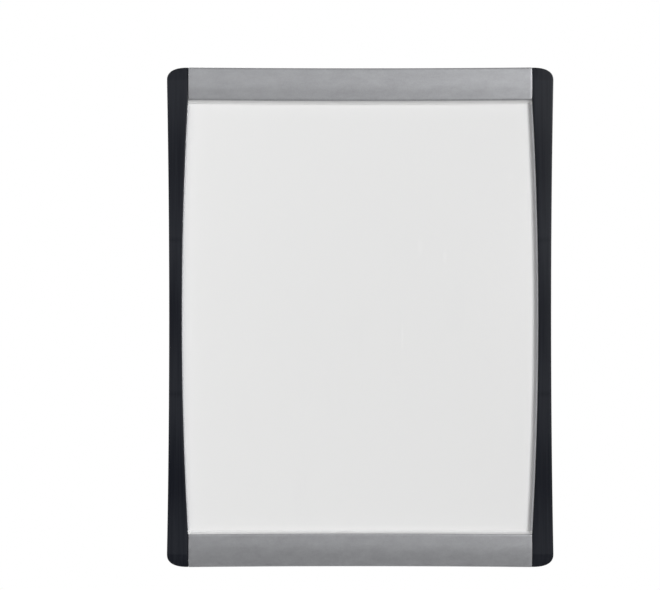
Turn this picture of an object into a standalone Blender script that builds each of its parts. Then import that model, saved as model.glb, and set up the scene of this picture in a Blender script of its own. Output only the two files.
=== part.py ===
"""A small framed whiteboard that hangs on a wall or on a steel door.

Two metallic grey end rails and two black side rails with arched inner edges
hold a pale bezel, a lacquered steel sheet, a core board and a rear panel.
Screws through the rear panel run into bosses in the side rails, and magnets sit
flush in cups in the rear panel.

Lengths are in metres. X points right and Z up, seen from the front, and the
front faces -Y. The origin is the middle of the flat back. A depth is counted
forwards from the back, so a point of depth d lies at y = -d.
"""

import math

import bmesh
import bpy
from mathutils import Vector

# Outline of the frame, seen from the front
frame_width = 0.216
frame_height = 0.2794
side_bow = 0.00125
end_bow = 0.0005
side_rail_end_width = 0.0118
side_rail_waist_width = 0.0071
end_rail_height = 0.0183
corner_drop = 0.0073
corner_power = 2.5

# Thicknesses, from the back to the front, and the clearance between the layers
panel_thickness = 0.0016
core_thickness = 0.0030
sheet_thickness = 0.0005
lip_height = 0.0034
rail_wall = 0.0014
seat_gap = 0.0003

# Faces and edges of the rails
end_rail_crown = 0.0008
end_rail_crest_share = 0.50
side_rail_crown = 0.0004
inner_edge_radius = 0.0006
outer_edge_radius = 0.0011
end_edge_radius = 0.0005
slope_length = 0.0075
slope_drop = 0.0008

# Joints between the end rails and the side rails
butt_gap = 0.0003
tongue_tip_gap = 0.0003
tongue_height = 0.0080
tongue_thickness = 0.0013
end_wall_thickness = 0.0014

# Bezel between the rails and the sheet
lip_thickness = 0.0012
lip_overhang = 0.0001
lip_side_draft = 0.0002
lip_end_cove = 0.0009
lip_foot_edge = 0.0003
flange_thickness = 0.0010
flange_reach = 0.0072
flange_side_gap = 0.0009

# Sheet and core under the bezel
sheet_reach = 0.0018
sheet_end_reach = 0.0061
sheet_corner_radius = 0.0020
core_setback = 0.0002

# Rear panel
panel_corner_radius = 0.0045
magnet_radius = 0.0090
magnet_thickness = 0.0030
magnet_edge_radius = 0.0004
magnet_inset = 0.0260
cup_wall = 0.0012
cup_floor = 0.0009

# Screws, and the bosses and ribs that they hold
screw_radius = 0.0008
screw_head_radius = 0.00175
screw_head_height = 0.0010
screw_head_sink = 0.0002
screw_length = 0.0080
screw_clearance = 0.00025
screw_tip_length = 0.0012
recess_width = 0.0005
recess_span = 0.0020
recess_depth = 0.0007
boss_radius = 0.0019
pilot_spare = 0.0006
rib_thickness = 0.0010
side_screw_height = 0.0430
corner_screw_inset = 0.0080

# Cutters run past what they cut, and joined shapes sink into each other, by these
overrun = 0.0040
bite = 0.0004

# Points closer than this become one where a turned shape closes
merge_reach = 0.00001

# Numbers of steps in curved shapes
arch_steps = 20
bow_steps = 10
edge_steps = 4
cove_steps = 4
corner_angles = (0, 12, 23, 34, 44, 54, 63, 72, 80, 86)
corner_end_share = 0.996
round_steps = 32
screw_steps = 16
crown_shares = (0.25, 0.5, 0.75)
end_round_shares = (0, 0.35, 0.75)

# Places worked out from the sizes above
half_width = frame_width / 2
half_height = frame_height / 2
window_half_height = half_height - end_rail_height
junction = half_width - side_rail_end_width
waist_edge = half_width - side_bow - side_rail_waist_width

core_back = panel_thickness + seat_gap
core_front = core_back + core_thickness
sheet_back = core_front + seat_gap
sheet_front = sheet_back + sheet_thickness
lip_foot = sheet_front + seat_gap
lip_top = lip_foot + lip_height
flange_top = lip_foot + flange_thickness
skin_back = lip_top + seat_gap
face_depth = skin_back + rail_wall

lip_outer = lip_thickness - lip_overhang
flange_half_width = half_width - side_bow - rail_wall - flange_side_gap
flange_half_height = window_half_height + flange_reach
sheet_half_width = waist_edge + sheet_reach
sheet_half_height = window_half_height + sheet_end_reach
panel_half_width = half_width - side_bow - rail_wall - seat_gap
panel_half_height = half_height - end_bow - rail_wall - seat_gap
end_rail_half_length = junction - butt_gap
tongue_front = skin_back - slope_drop - seat_gap
tongue_back = tongue_front - tongue_thickness
tongue_end = half_width - side_bow - rail_wall - tongue_tip_gap
corner_screw_x = (junction + tongue_end) / 2
corner_screw_z = half_height - corner_screw_inset


def clear_scene():
    """Remove what the file holds, so that only the model is in it."""
    for thing in list(bpy.data.objects):
        bpy.data.objects.remove(thing, do_unlink=True)


clear_scene()
model = bpy.data.collections.new("whiteboard")
tools = bpy.data.collections.new("cutters")
bpy.context.scene.collection.children.link(model)
bpy.context.scene.collection.children.link(tools)


def point(x, depth, z):
    """A point from its place across, its depth from the back and its height."""
    return Vector((x, -depth, z))


def finish(name, colour, roughness, metallic=0.0):
    """A material of its own for one part."""
    material = bpy.data.materials.new(name + "_finish")
    material.use_nodes = True
    shader = material.node_tree.nodes["Principled BSDF"]
    shader.inputs["Base Color"].default_value = (*colour, 1.0)
    shader.inputs["Roughness"].default_value = roughness
    shader.inputs["Metallic"].default_value = metallic
    return material


def add_object(name, bm, collection):
    """Turn a bmesh into an object with its faces pointing outwards."""
    bmesh.ops.recalc_face_normals(bm, faces=bm.faces)
    mesh = bpy.data.meshes.new(name)
    bm.to_mesh(mesh)
    bm.free()
    thing = bpy.data.objects.new(name, mesh)
    collection.objects.link(thing)
    return thing


def as_tool(thing):
    """Mark an object that only shapes others."""
    thing.hide_render = True
    thing.display_type = "WIRE"
    return thing


def boolean(thing, tool, operation):
    """Cut a tool out of an object, or join it on."""
    step = thing.modifiers.new(tool.name, "BOOLEAN")
    step.operation = operation
    step.object = tool
    step.solver = "EXACT"


def shade_round(thing):
    """Smooth shading with crisp edges."""
    thing.data.shade_smooth()
    thing.data.set_sharp_from_angle(angle=math.radians(40))


def skin(bm, sections, ring=False):
    """Skin a row of closed sections with equal counts of points.

    A ring joins its last section to its first, and otherwise both ends are capped.
    """
    loops = [[bm.verts.new(place) for place in section] for section in sections]
    pairs = list(zip(loops, loops[1:]))
    if ring:
        pairs.append((loops[-1], loops[0]))
    else:
        bm.faces.new(loops[0])
        bm.faces.new(loops[-1])
    for near, far in pairs:
        for i in range(len(near)):
            j = (i + 1) % len(near)
            bm.faces.new((near[i], near[j], far[j], far[i]))


def loft(name, sections, collection, ring=False):
    """An object skinned over a row of sections."""
    bm = bmesh.new()
    skin(bm, sections, ring)
    return add_object(name, bm, collection)


def block(name, low, high):
    """A box between two corners, as a tool."""
    return as_tool(box(name, low, high, tools))


def box(name, low, high, collection):
    """A box between two corners, each given as (x, depth, z)."""
    bm = bmesh.new()
    bmesh.ops.create_cube(bm, size=1.0)
    a, b = point(*low), point(*high)
    size = Vector([abs(b[i] - a[i]) for i in range(3)])
    bmesh.ops.scale(bm, vec=size, verts=bm.verts)
    bmesh.ops.translate(bm, vec=(a + b) / 2, verts=bm.verts)
    return add_object(name, bm, collection)


def circle(x, z, radius, depth, steps):
    """A ring of points at a depth."""
    angles = [2 * math.pi * i / steps for i in range(steps)]
    return [point(x + radius * math.cos(angle), depth, z + radius * math.sin(angle))
            for angle in angles]


def round_tool(name, places, profile, steps=round_steps):
    """One tool of round bars along the depth, alike at each place.

    The profile is a row of radii and depths, from the back forwards.
    """
    bm = bmesh.new()
    for x, z in places:
        skin(bm, [circle(x, z, radius, depth, steps) for radius, depth in profile])
    return as_tool(add_object(name, bm, tools))


def plate(name, half_x, half_z, low, high, corner_radius):
    """A flat plate with round corners, centred on the origin."""
    thing = box(name, (-half_x, low, -half_z), (half_x, high, half_z), model)
    bm = bmesh.new()
    bm.from_mesh(thing.data)
    upright = [edge for edge in bm.edges if edge.verts[0].co.x == edge.verts[1].co.x
               and edge.verts[0].co.z == edge.verts[1].co.z]
    bmesh.ops.bevel(bm, geom=upright, offset=corner_radius, segments=4, profile=0.5,
                    affect="EDGES")
    bm.to_mesh(thing.data)
    bm.free()
    return thing


# Plan curves, shared by every piece that follows them


def arch_edge(z):
    """How far out the arched inner edge of a side rail lies at a height."""
    share = min(1.0, abs(z) / window_half_height)
    return waist_edge - (waist_edge - junction) * share ** 2


def outer_edge(z, inset):
    """How far out a side rail reaches at a height, drawn in by a wall if asked."""
    rise = corner_drop - inset
    share = (abs(z) - (half_height - corner_drop)) / rise
    share = min(corner_end_share, max(0.0, share))
    run = side_rail_end_width - inset
    bow = side_bow * max(0.0, 1 - (z / (half_height - corner_drop)) ** 2)
    corner = run * (1 - (1 - share ** corner_power) ** (1 / corner_power))
    return half_width - inset - bow - corner


def end_edge_bow(x):
    """How far an end rail is drawn in towards the window at a place across."""
    share = min(1.0, abs(x) / junction)
    return end_bow * (1 - share ** 2)


def rail_heights(inset):
    """Heights of the sections of a side rail, close together at its corners."""
    rise = corner_drop - inset
    start = half_height - corner_drop
    upper = [start + rise * math.sin(math.radians(angle)) for angle in corner_angles]
    upper.append(start + rise)
    middle = [window_half_height * (1 - 2 * i / arch_steps) for i in range(1, arch_steps)]
    ends = sorted(set(upper + [window_half_height]), reverse=True)
    return ends + middle + [-z for z in reversed(ends)]


def slope(z):
    """How far the face of a side rail has fallen back near its ends."""
    share = max(0.0, (abs(z) - (half_height - slope_length)) / slope_length)
    return slope_drop * share


def edge_angles():
    """Angles of the points on a quarter-round edge."""
    return [math.pi / 2 * i / edge_steps for i in range(edge_steps + 1)]


def roll(distance, radius):
    """How far a rounded edge has fallen back at a distance from the outline."""
    short = max(0.0, radius - distance)
    return radius - math.sqrt(max(0.0, radius ** 2 - short ** 2))


# Side rails


def side_rail_section(side, z):
    """The solid section of a side rail at a height, from the inner edge outwards.

    On the left it runs inwards, so that the two rails are wound as mirror images.
    """
    inner, outer = arch_edge(z), outer_edge(z, 0.0)
    width = outer - inner
    face = face_depth - slope(z) - roll(half_height - abs(z), outer_edge_radius)
    inner_radius = min(inner_edge_radius, width / 4)
    outer_radius = min(outer_edge_radius, width / 3)
    crown = side_rail_crown * width / side_rail_end_width
    places = [(inner, 0.0)]
    for angle in edge_angles():
        places.append((inner + inner_radius * (1 - math.cos(angle)),
                       face - inner_radius * (1 - math.sin(angle))))
    for share in crown_shares:
        places.append((inner + width * share, face + crown * 4 * share * (1 - share)))
    for angle in edge_angles():
        places.append((outer - outer_radius * (1 - math.sin(angle)),
                       face - outer_radius * (1 - math.cos(angle))))
    places.append((outer, 0.0))
    return [point(side * x, depth, z) for x, depth in places[::side]]


def side_cavity_section(side, z):
    """The hollow behind the skin, open to the window and to the back."""
    inner = arch_edge(z) - overrun
    outer = outer_edge(z, rail_wall)
    ceiling = face_depth - slope(z) - rail_wall
    places = [(inner, -overrun), (inner, ceiling), (outer, ceiling), (outer, -overrun)]
    return [point(side * x, depth, z) for x, depth in places[::side]]


def screw_places():
    """Each screw's name and place: two behind each arch and one at each corner."""
    side_x = arch_edge(side_screw_height) + lip_outer + seat_gap + boss_radius
    rows = []
    for side, side_name in ((-1, "left"), (1, "right")):
        rows.append((side, side_name + "_top", side * corner_screw_x, corner_screw_z))
        rows.append((side, side_name + "_upper", side * side_x, side_screw_height))
        rows.append((side, side_name + "_lower", side * side_x, -side_screw_height))
        rows.append((side, side_name + "_bottom", side * corner_screw_x, -corner_screw_z))
    return rows


def side_rail(name, side):
    """A black side rail: an arched shell with ribs and screw bosses behind its skin.

    The bosses and ribs are spared out of the hollow before it is cut out of the rail.
    """
    rail = loft(name, [side_rail_section(side, z) for z in rail_heights(0.0)], model)
    hollow = loft(name + "_hollow",
                  [side_cavity_section(side, z) for z in rail_heights(rail_wall)], tools)
    places = [(x, z) for place_side, _, x, z in screw_places() if place_side == side]
    bosses, ribs = bmesh.new(), bmesh.new()
    for x, z in places:
        ceiling = face_depth - slope(z) - rail_wall
        skin(bosses, [circle(x, z, boss_radius, depth, screw_steps)
                      for depth in (core_back, ceiling + bite)])
        skin(ribs, [rib_section(side, x, z, height, ceiling + bite)
                    for height in (z - rib_thickness / 2, z + rib_thickness / 2)])
    boolean(hollow, as_tool(add_object(name + "_bosses", bosses, tools)), "DIFFERENCE")
    boolean(hollow, as_tool(add_object(name + "_ribs", ribs, tools)), "DIFFERENCE")
    boolean(rail, as_tool(hollow), "DIFFERENCE")
    pilot_radius, pilot_end = screw_radius + screw_clearance, screw_head_sink + screw_length
    pilots = round_tool(name + "_pilots", places,
                        [(pilot_radius, -overrun), (pilot_radius, pilot_end + pilot_spare)],
                        screw_steps)
    boolean(rail, pilots, "DIFFERENCE")
    rail.data.materials.append(finish(name, (0.019, 0.020, 0.024), 0.38))
    return rail


def rib_section(side, x, z, height, top):
    """One face of a rib that runs from a boss to the rail's outer wall."""
    wall = side * (outer_edge(z, rail_wall) + bite)
    foot = tongue_front + seat_gap
    return [point(x, foot, height), point(wall, foot, height),
            point(wall, top, height), point(x, top, height)]


# End rails


def crest(share):
    """Rise of an end rail's face: two flats that meet at a soft crest."""
    if share < end_rail_crest_share:
        return end_rail_crown * share / end_rail_crest_share
    return end_rail_crown * (1 - share) / (1 - end_rail_crest_share)


def end_rail_section(side, x):
    """The hook-shaped section of an end rail: its skin and its outer wall."""
    fall = roll(end_rail_half_length - abs(x), end_edge_radius)
    height, face = end_rail_height - fall, face_depth - fall
    places = [(0.0, face_depth - rail_wall)]
    for angle in edge_angles():
        places.append((inner_edge_radius * (1 - math.cos(angle)),
                       face - inner_edge_radius * (1 - math.sin(angle))))
    blend = end_rail_crest_share / 4
    for share in (end_rail_crest_share - blend, end_rail_crest_share,
                  end_rail_crest_share + blend):
        places.append((height * share, face + crest(share)))
    for angle in edge_angles():
        places.append((height - outer_edge_radius * (1 - math.sin(angle)),
                       face - outer_edge_radius * (1 - math.cos(angle))))
    wall_inside = end_rail_height - rail_wall
    places += [(height, 0.0), (wall_inside, 0.0), (wall_inside, face_depth - rail_wall)]
    base = window_half_height - end_edge_bow(x)
    return [point(x, depth, side * (base + reach)) for reach, depth in places]


def end_rail_stations():
    """Places of the sections along an end rail, close together at its round ends."""
    near_end = [end_rail_half_length - end_edge_radius * share for share in end_round_shares]
    middle = end_rail_half_length - end_edge_radius
    inner = [middle * (1 - 2 * i / bow_steps) for i in range(bow_steps + 1)]
    return near_end + inner + [-x for x in reversed(near_end)]


def end_rail(name, side):
    """A metallic end rail with an end wall and a tongue at each of its ends."""
    rail = loft(name, [end_rail_section(side, x) for x in end_rail_stations()], model)
    wall_low = window_half_height + lip_outer + seat_gap
    wall_high = half_height - rail_wall + bite
    for across, across_name in ((-1, "left"), (1, "right")):
        outside = across * (end_rail_half_length - end_edge_radius)
        inside = outside - across * end_wall_thickness
        wall = block(name + "_wall_" + across_name,
                     (inside, flange_top + seat_gap, side * wall_low),
                     (outside, skin_back + bite, side * wall_high))
        boolean(rail, wall, "UNION")
        tongue = block(name + "_tongue_" + across_name,
                       (inside, tongue_back, side * (corner_screw_z - tongue_height / 2)),
                       (across * tongue_end, tongue_front,
                        side * (corner_screw_z + tongue_height / 2)))
        boolean(rail, tongue, "UNION")
    eye_radius = boss_radius + seat_gap
    eyes = round_tool(name + "_eyes", [(x * corner_screw_x, side * corner_screw_z)
                                       for x in (-1, 1)],
                      [(eye_radius, tongue_back - overrun), (eye_radius, tongue_front + overrun)],
                      screw_steps)
    boolean(rail, eyes, "DIFFERENCE")
    rail.data.materials.append(finish(name, (0.34, 0.345, 0.355), 0.42, 0.55))
    return rail


# Bezel


def walk_round(side_x, end_z, depth):
    """A closed loop round the window, from a rule for its sides and one for its ends."""
    places = []
    for turn in (1, -1):
        for i in range(arch_steps):
            places.append(side_x(turn, turn * (2 * i / arch_steps - 1)))
        for i in range(bow_steps):
            places.append(end_z(turn, turn * (1 - 2 * i / bow_steps)))
    return [point(x, depth, z) for x, z in places]


def window_loop(offset, end_offset, depth):
    """A loop that follows the window's edge, moved outwards by offsets at its sides and ends."""
    reach = window_half_height + end_offset

    def side_place(turn, share):
        return turn * (arch_edge(share * window_half_height) + offset), share * reach

    def end_place(turn, share):
        across = share * (junction + offset)
        return across, turn * (reach - end_edge_bow(across))

    return walk_round(side_place, end_place, depth)


def flange_loop(depth):
    """The plain outer edge of the bezel's flange."""
    return walk_round(lambda turn, share: (turn * flange_half_width, share * flange_half_height),
                      lambda turn, share: (share * flange_half_width, turn * flange_half_height),
                      depth)


def lip_sections():
    """The lip's inner face: nearly upright at the sides, swept down in a cove at the ends."""
    sections = []
    fall = lip_height - lip_foot_edge
    for i in range(cove_steps + 1):
        turn = math.pi / 2 * i / cove_steps
        sections.append(window_loop(-lip_overhang - lip_side_draft * math.sin(turn),
                                    -lip_overhang - lip_end_cove * (1 - math.cos(turn)),
                                    lip_top - fall * math.sin(turn)))
    sections.append(window_loop(-lip_overhang - lip_side_draft, -lip_overhang - lip_end_cove,
                                lip_foot))
    return sections


def inner_bezel():
    """The pale lip round the window, on a flange that lies on the sheet's edge."""
    bezel = loft("inner_bezel", lip_sections() + [
        flange_loop(lip_foot),
        flange_loop(flange_top),
        window_loop(lip_outer, lip_outer, flange_top),
        window_loop(lip_outer, lip_outer, lip_top),
    ], model, ring=True)
    relieve_bosses(bezel, lip_foot, flange_top)
    bezel.data.materials.append(finish("inner_bezel", (0.62, 0.62, 0.625), 0.25))
    return bezel


def relieve_bosses(thing, low, high):
    """Notch a layer's long edges so that the side bosses pass through."""
    places = [(x, z) for _, _, x, z in screw_places() if abs(z) <= side_screw_height]
    reach = boss_radius + seat_gap
    notches = round_tool(thing.name + "_notches", places,
                         [(reach, low - overrun), (reach, high + overrun)], screw_steps)
    boolean(thing, notches, "DIFFERENCE")


# Layers behind the bezel


def writing_sheet():
    """The lacquered steel sheet."""
    sheet = plate("writing_sheet", sheet_half_width, sheet_half_height, sheet_back,
                  sheet_front, sheet_corner_radius)
    relieve_bosses(sheet, sheet_back, sheet_front)
    sheet.data.materials.append(finish("writing_sheet", (0.80, 0.80, 0.79), 0.16))
    return sheet


def magnet_places():
    """Each magnet's name and centre, near a corner of the rear panel."""
    x = panel_half_width - magnet_inset
    z = panel_half_height - magnet_inset
    return [("top_left", -x, z), ("top_right", x, z),
            ("bottom_left", -x, -z), ("bottom_right", x, -z)]


def magnet_tool(name, radius, low, high):
    """A round tool at every magnet."""
    places = [(x, z) for _, x, z in magnet_places()]
    return round_tool(name, places, [(radius, low), (radius, high)])


def core_board():
    """The stiff board behind the sheet, bored for the magnet cups."""
    core = plate("core_board", sheet_half_width - core_setback,
                 sheet_half_height - core_setback, core_back, core_front, sheet_corner_radius)
    relieve_bosses(core, core_back, core_front)
    holes = magnet_tool("core_holes", magnet_radius + seat_gap + cup_wall + seat_gap,
                        core_back - overrun, core_front + overrun)
    boolean(core, holes, "DIFFERENCE")
    core.data.materials.append(finish("core_board", (0.36, 0.24, 0.14), 0.85))
    return core


def countersinks():
    """The cutter for every screw's shank and its sunk head, open to the back."""
    shank = screw_radius + screw_clearance
    head = screw_head_radius + screw_clearance
    return round_tool("countersinks", [(x, z) for _, _, x, z in screw_places()], [
        (head, -overrun), (head, screw_head_sink), (shank, screw_head_sink + screw_head_height),
        (shank, panel_thickness + overrun),
    ], screw_steps)


def turned(name, profile, x, z, steps):
    """A solid of revolution about a line along the depth, from (radius, depth) points."""
    bm = bmesh.new()
    verts = [bm.verts.new((radius, 0.0, depth)) for radius, depth in profile]
    for near, far in zip(verts, verts[1:]):
        bm.edges.new((near, far))
    mesh = bpy.data.meshes.new(name)
    bm.to_mesh(mesh)
    bm.free()
    thing = bpy.data.objects.new(name, mesh)
    model.objects.link(thing)
    thing.location = point(x, 0.0, z)
    thing.rotation_euler = (math.pi / 2, 0.0, 0.0)
    turn = thing.modifiers.new("turn", "SCREW")
    turn.steps = steps
    turn.render_steps = steps
    turn.use_merge_vertices = True
    turn.merge_threshold = merge_reach
    return thing


def rear_panel():
    """The back, with a cup for each magnet and a countersunk hole for each screw."""
    panel = plate("rear_panel", panel_half_width, panel_half_height, 0.0, panel_thickness,
                  panel_corner_radius)
    pocket = magnet_thickness + seat_gap
    cups = magnet_tool("cups", magnet_radius + seat_gap + cup_wall,
                       panel_thickness - bite, pocket + cup_floor)
    boolean(panel, cups, "UNION")
    boolean(panel, magnet_tool("wells", magnet_radius + seat_gap, -overrun, pocket),
            "DIFFERENCE")
    boolean(panel, countersinks(), "DIFFERENCE")
    panel.data.materials.append(finish("rear_panel", (0.030, 0.031, 0.034), 0.6))
    return panel


def magnets():
    """Flat disc magnets, flush with the back."""
    for name, x, z in magnet_places():
        edge, full = magnet_edge_radius, magnet_radius
        disc = turned("magnet_" + name, [
            (0.0, magnet_thickness), (full - edge, magnet_thickness),
            (full, magnet_thickness - edge), (full, edge), (full - edge, 0.0), (0.0, 0.0),
        ], x, z, round_steps)
        disc.data.materials.append(finish(disc.name, (0.045, 0.043, 0.042), 0.55, 0.2))


def screws():
    """Countersunk screws with a cross recess in the head."""
    for _, name, x, z in screw_places():
        head_front = screw_head_sink + screw_head_height
        tip = screw_head_sink + screw_length
        screw = turned("screw_" + name, [
            (0.0, tip), (screw_radius / 2, tip - screw_tip_length / 2),
            (screw_radius, tip - screw_tip_length), (screw_radius, head_front),
            (screw_head_radius, screw_head_sink), (0.0, screw_head_sink),
        ], x, z, screw_steps)
        for across, up in ((recess_span, recess_width), (recess_width, recess_span)):
            slot = block(screw.name + ("_slot_across" if across > up else "_slot_upright"),
                         (x - across / 2, -overrun, z - up / 2),
                         (x + across / 2, screw_head_sink + recess_depth, z + up / 2))
            boolean(screw, slot, "DIFFERENCE")
        screw.data.materials.append(finish(screw.name, (0.55, 0.55, 0.53), 0.35, 1.0))


side_rail("left_rail", -1)
side_rail("right_rail", 1)
end_rail("top_rail", 1)
end_rail("bottom_rail", -1)
inner_bezel()
writing_sheet()
core_board()
rear_panel()
magnets()
screws()
for part in model.objects:
    if part.name.endswith("_rail"):
        shade_round(part)
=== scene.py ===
"""The fine surface of a small framed whiteboard, its light and its camera.

Two metallic grey end rails and two black side rails with arched inner edges
frame a pale grey bezel and a glossy white sheet. A textured back holds four
magnets and eight screws. Each moulding here stands for the plain solid of the
same piece and follows the same sizes.

Lengths are in metres. X points right and Z up, seen from the front, and the
front faces -Y. A depth is counted forwards from the flat back, so a point of
depth d lies at y = -d.
"""

import math
import random

import bmesh
import bpy
from mathutils import Matrix, Vector


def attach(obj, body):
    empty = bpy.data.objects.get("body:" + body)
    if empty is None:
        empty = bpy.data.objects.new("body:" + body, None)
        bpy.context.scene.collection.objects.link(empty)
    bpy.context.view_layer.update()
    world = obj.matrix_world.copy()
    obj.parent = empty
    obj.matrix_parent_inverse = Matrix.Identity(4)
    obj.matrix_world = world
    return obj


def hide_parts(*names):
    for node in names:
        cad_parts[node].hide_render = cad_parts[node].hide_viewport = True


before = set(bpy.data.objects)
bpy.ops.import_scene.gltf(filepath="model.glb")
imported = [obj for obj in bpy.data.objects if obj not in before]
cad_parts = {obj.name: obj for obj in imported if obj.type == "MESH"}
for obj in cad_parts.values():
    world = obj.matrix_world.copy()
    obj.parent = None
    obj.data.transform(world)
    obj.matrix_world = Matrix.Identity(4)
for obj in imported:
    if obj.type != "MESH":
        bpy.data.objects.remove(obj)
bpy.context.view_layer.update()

# Outline of the frame
frame_width = 0.216
frame_height = 0.2794
side_bow = 0.00125
end_bow = 0.0005
side_rail_end_width = 0.0118
side_rail_waist_width = 0.0071
end_rail_height = 0.0183
corner_drop = 0.0073
corner_power = 2.5

# Thicknesses and clearances of the layers
panel_thickness = 0.0016
core_thickness = 0.0030
sheet_thickness = 0.0005
lip_height = 0.0034
rail_wall = 0.0014
seat_gap = 0.0003

# Faces and edges of the rails
end_rail_crown = 0.0008
end_rail_crest_share = 0.50
crest_blend_share = 0.22
side_rail_crown = 0.0001
inner_edge_radius = 0.0006
outer_edge_radius = 0.0011
side_edge_radius = 0.0006
end_edge_radius = 0.0002
foot_edge = 0.0003
slope_length = 0.0075
slope_drop = 0.0008
crease_blend = 0.0004
rub_reach = 0.0015

# Joints between the rails
butt_gap = 0.0003
tongue_height = 0.0080
tongue_thickness = 0.0013
end_wall_thickness = 0.0014

# Bezel and sheet
lip_thickness = 0.0012
lip_overhang = 0.0001
lip_end_cove = 0.0009
lip_foot_edge = 0.0003
lip_edge_radius = 0.0002
flange_thickness = 0.0010
flange_reach = 0.0072
flange_side_gap = 0.0009
sheet_reach = 0.0018
sheet_end_reach = 0.0061
sheet_corner_radius = 0.0020
sheet_edge = 0.0001

# Back, magnets and screws
panel_corner_radius = 0.0045
panel_edge = 0.0003
magnet_radius = 0.0090
magnet_thickness = 0.0030
magnet_edge_radius = 0.0004
magnet_inset = 0.0260
cup_wall = 0.0012
cup_floor = 0.0009
screw_radius = 0.0008
screw_head_radius = 0.00175
screw_head_height = 0.0010
screw_head_sink = 0.0002
screw_rim_height = 0.00015
screw_rim_inset = 0.0001
screw_length = 0.0080
screw_clearance = 0.00025
screw_tip_length = 0.0012
pilot_spare = 0.0006
thread_pitch = 0.0007
thread_depth = 0.00012
recess_width = 0.0005
recess_span = 0.0020
recess_depth = 0.0007
recess_taper = (0.5, 1.0, 0.6)
boss_radius = 0.0019
side_screw_height = 0.0430
corner_screw_inset = 0.0080

# Overruns of the cutters, and how the meshes are closed and shaded
overrun = 0.0040
bite = 0.0004
weld_distance = 0.000001
crisp_angle = 24
broad_flat = 0.001

# How far a side rail's outline is followed round its corner, and the least value to divide by
corner_end_share = 0.998
tiny = 1e-6

# Steps round the shapes
corner_angles = (86, 83, 80, 77, 74, 70, 66, 62, 57, 52, 46, 40, 34, 28, 22, 16, 10, 5, 0)
crease_steps = 4
arch_steps = 36
side_face_steps = 10
end_face_steps = 24
wall_steps = 8
inner_roll_steps = 5
outer_roll_steps = 7
small_roll_steps = 4
window_side_steps = 48
window_end_steps = 40
cove_steps = 10
plate_corner_steps = 10
plate_edge_steps = 2
bore_steps = 32
disc_steps = 64
quarter_shares = (0.25, 0.5, 0.75)

# How much a seam and the foot of a rail are rubbed
seam_rub = 0.3
foot_rub = 0.5

# Marks in the finishes, and the reach of the painted light at the bezel's ends
sink_reach = 0.0022
painted_light_end_reach = 0.0022
painted_light_end_full = 0.0016

# Faint painted reflections on the lacquer: place across, height, half width and half height
painted_reflection_spots = [(0.034, 0.040, 0.0018, 0.0070), (0.048, 0.034, 0.0015, 0.0050),
              (0.087, 0.079, 0.0040, 0.0040), (0.024, -0.011, 0.0008, 0.0100)]

# Colours of the finishes: two that mix, and those of their rubbed edges and marks, with painted
# light for the bezel's ends and painted reflections on the lacquer
black_dark, black_pale = (0.0045, 0.0055, 0.0092, 1.0), (0.0150, 0.0166, 0.0214, 1.0)
black_rubbed = (0.030, 0.031, 0.036, 1.0)
silver_dark, silver_pale = (0.302, 0.305, 0.318, 1.0), (0.422, 0.427, 0.443, 1.0)
silver_rubbed = (0.52, 0.525, 0.535, 1.0)
bezel_dark, bezel_pale = (0.610, 0.612, 0.650, 1.0), (0.690, 0.692, 0.730, 1.0)
bezel_end_painted_light = (0.90, 0.90, 0.90, 1.0)
bezel_rubbed = (0.82, 0.82, 0.82, 1.0)
lacquer_clean, lacquer_smeared = (0.812, 0.812, 0.809, 1.0), (0.790, 0.790, 0.790, 1.0)
lacquer_speck = (0.55, 0.54, 0.52, 1.0)
lacquer_painted_reflection = (0.835, 0.835, 0.832, 1.0)
fibre_dark, fibre_pale = (0.25, 0.16, 0.09, 1.0), (0.45, 0.31, 0.19, 1.0)
fibre_patch = (0.33, 0.22, 0.13, 1.0)
back_dark, back_pale = (0.030, 0.031, 0.034, 1.0), (0.052, 0.053, 0.057, 1.0)
back_dust = (0.075, 0.075, 0.076, 1.0)
back_rubbed = (0.09, 0.09, 0.095, 1.0)
ferrite_dark, ferrite_pale = (0.060, 0.057, 0.055, 1.0), (0.105, 0.101, 0.098, 1.0)
zinc_dark, zinc_pale = (0.44, 0.44, 0.43, 1.0), (0.66, 0.66, 0.64, 1.0)
floor_colour = (0.85, 0.85, 0.85, 1.0)
white = (1.0, 1.0, 1.0, 1.0)

# Places worked out from the sizes above
half_width = frame_width / 2
half_height = frame_height / 2
window_half_height = half_height - end_rail_height
junction = half_width - side_rail_end_width
waist_edge = half_width - side_bow - side_rail_waist_width
core_back = panel_thickness + seat_gap
sheet_back = core_back + core_thickness + seat_gap
sheet_front = sheet_back + sheet_thickness
lip_foot = sheet_front + seat_gap
lip_top = lip_foot + lip_height
flange_top = lip_foot + flange_thickness
skin_back = lip_top + seat_gap
face_depth = skin_back + rail_wall
lip_outer = lip_thickness - lip_overhang
flange_half_width = half_width - side_bow - rail_wall - flange_side_gap
flange_half_height = window_half_height + flange_reach
panel_half_width = half_width - side_bow - rail_wall - seat_gap
panel_half_height = half_height - end_bow - rail_wall - seat_gap
end_rail_half_length = junction - butt_gap
tongue_front = skin_back - slope_drop - seat_gap
tongue_back = tongue_front - tongue_thickness
tongue_end = panel_half_width
corner_screw_x = (junction + tongue_end) / 2
corner_screw_z = half_height - corner_screw_inset
corner_start = half_height - corner_drop
crease = half_height - slope_length


# Mesh helpers


def point(x, depth, z):
    """A point from its place across, its depth from the back and its height."""
    return Vector((x, -depth, z))


def shade(mesh):
    """Smooth shading with crisp edges, also all round a broad flat face."""
    mesh.shade_smooth()
    mesh.set_sharp_from_angle(angle=math.radians(crisp_angle))
    for face in mesh.polygons:
        if face.area > broad_flat:
            for i in face.loop_indices:
                mesh.edges[mesh.loops[i].edge_index].use_edge_sharp = True


def weld(bm):
    """Merge the points that coincide, and drop the faces that this flattens."""
    bmesh.ops.remove_doubles(bm, verts=bm.verts, dist=weld_distance)
    bmesh.ops.dissolve_degenerate(bm, dist=weld_distance, edges=bm.edges)


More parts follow.
